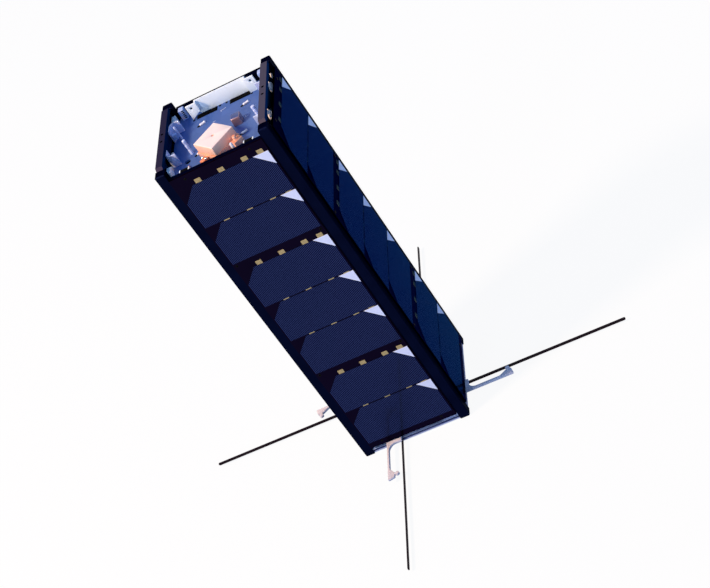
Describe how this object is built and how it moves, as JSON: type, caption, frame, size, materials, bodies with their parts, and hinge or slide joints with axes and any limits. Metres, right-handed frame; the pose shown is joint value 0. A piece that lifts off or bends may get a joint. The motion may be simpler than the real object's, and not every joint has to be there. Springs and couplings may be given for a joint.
{
  "type": "cube satellite",
  "caption": "Three-unit cube satellite: railed frame clad in solar panels, open payload deck at one end, turnstile tape antennas and hinged hold-down arms at the other.",
  "frame": {"origin": "on the ground plane, midway between the four rail feet at the antenna end", "axes": "+Z from the antenna end to the payload end, -Y out of the front panel, +X out of the right panel"},
  "size_m": [0.4, 0.4, 0.3422],
  "materials": {
    "black_anodised": "satin hard anodised",
    "panel_board": "glossy black solder mask",
    "solar_cell": "glossy cover glass",
    "bypass_diode": "glossy",
    "cell_tab": "satin",
    "antenna_tape": "dark spring steel",
    "clear_anodised": "satin clear anodised",
    "deck_board": "semi-gloss blue solder mask",
    "steel_fastener": "bright",
    "bare_aluminium": "satin",
    "black_plastic": "matt",
    "sensor_metal": "satin bead blasted",
    "stack_board": "matt"
  },
  "bodies": {
    "satellite": {"side_frame_left": "black_anodised", "side_frame_right": "black_anodised", "rib_base_front": "black_anodised", "rib_top_front": "black_anodised", "rib_base_back": "black_anodised", "rib_top_back": "black_anodised", "panel_front": "panel_board", "cells_front": "solar_cell", "diodes_front": "bypass_diode", "tabs_front": "cell_tab", "antenna_front": "antenna_tape", "panel_right": "panel_board", "cells_right": "solar_cell", "diodes_right": "bypass_diode", "tabs_right": "cell_tab", "antenna_right": "antenna_tape", "panel_back": "panel_board", "cells_back": "solar_cell", "diodes_back": "bypass_diode", "tabs_back": "cell_tab", "antenna_back": "antenna_tape", "panel_left": "panel_board", "cells_left": "solar_cell", "diodes_left": "bypass_diode", "tabs_left": "cell_tab", "antenna_left": "antenna_tape", "payload_deck": "deck_board", "deck_spacers": "steel_fastener", "deck_screws": "steel_fastener", "bay_wall": "bare_aluminium", "bay_brackets_left": "bare_aluminium", "bay_brackets_right": "bare_aluminium", "deck_blocks": "bare_aluminium", "panel_lugs": "black_plastic", "lug_plates": "bare_aluminium", "bay_posts": "steel_fastener", "filter_can": "steel_fastener", "sensor_base": "sensor_metal", "sensor_housing": "sensor_metal", "avionics_stack": "stack_board", "antenna_housing": "clear_anodised", "antenna_cover": "clear_anodised"},
    "arm_front": {"arm_front": "clear_anodised"},
    "arm_right": {"arm_right": "clear_anodised"},
    "arm_back": {"arm_back": "clear_anodised"},
    "arm_left": {"arm_left": "clear_anodised"}
  },
  "joints": [
    {"name": "arm_front_hinge", "type": "hinge", "parent": "satellite", "child": "arm_front", "pos_m": [-0.0244, -0.0455, 0.0064], "axis": [0, 0, 1], "range_deg": [0, 90]},
    {"name": "arm_right_hinge", "type": "hinge", "parent": "satellite", "child": "arm_right", "pos_m": [0.0455, -0.0244, 0.0064], "axis": [0, 0, 1], "range_deg": [0, 90]},
    {"name": "arm_back_hinge", "type": "hinge", "parent": "satellite", "child": "arm_back", "pos_m": [0.0244, 0.0455, 0.0064], "axis": [0, 0, 1], "range_deg": [0, 90]},
    {"name": "arm_left_hinge", "type": "hinge", "parent": "satellite", "child": "arm_left", "pos_m": [-0.0455, 0.0244, 0.0064], "axis": [0, 0, 1], "range_deg": [0, 90]}
  ]
}
